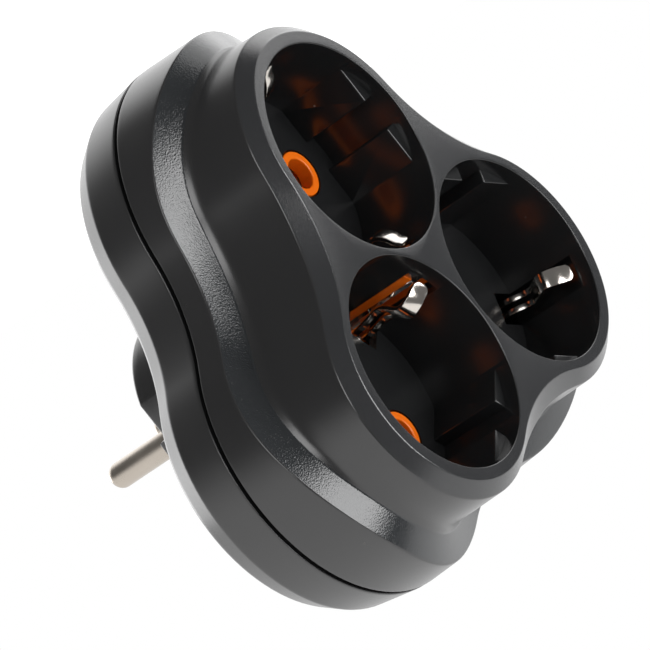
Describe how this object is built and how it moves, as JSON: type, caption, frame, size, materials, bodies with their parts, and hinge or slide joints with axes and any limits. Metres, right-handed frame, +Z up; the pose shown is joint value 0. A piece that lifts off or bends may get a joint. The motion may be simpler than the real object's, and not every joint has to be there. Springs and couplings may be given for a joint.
{
  "type": "triple socket adapter",
  "caption": "Three-lobed plug-in adapter: earthed sockets recessed in the front face, a stepped wavy shoulder, and a round earthed plug with straight pins on the back.",
  "frame": {"origin": "centre of the flat nose of the plug, between its two pins", "axes": "+Z up, towards the top socket; the sockets face -Y and the plug's pins point along +Y"},
  "size_m": [0.1006, 0.0755, 0.0953],
  "materials": {
    "shell": "black, fine-textured satin on the face, smooth satin on the sides and in the wells",
    "carrier": "bright orange, smooth satin",
    "nickel": "bright nickel plate, slightly warm",
    "brass": "plain rolled brass",
    "insulator": "pale insulating board",
    "screw": "zinc-plated steel"
  },
  "bodies": {
    "root": {"front_housing": "shell", "back_cover": "shell", "contact_carrier_top": "carrier", "earth_clip_top": "nickel", "live_contact_top": "brass", "neutral_contact_top": "brass", "contact_carrier_left": "carrier", "earth_clip_left": "nickel", "live_contact_left": "brass", "neutral_contact_left": "brass", "contact_carrier_right": "carrier", "earth_clip_right": "nickel", "live_contact_right": "brass", "neutral_contact_right": "brass", "live_bar": "brass", "bar_insulator": "insulator", "neutral_bar": "brass", "earth_plate": "nickel", "plug_earth_strip": "nickel", "plug_pin_live": "nickel", "plug_pin_neutral": "nickel", "cover_screw_1": "screw", "cover_screw_2": "screw", "cover_screw_3": "screw"}
  },
  "joints": []
}
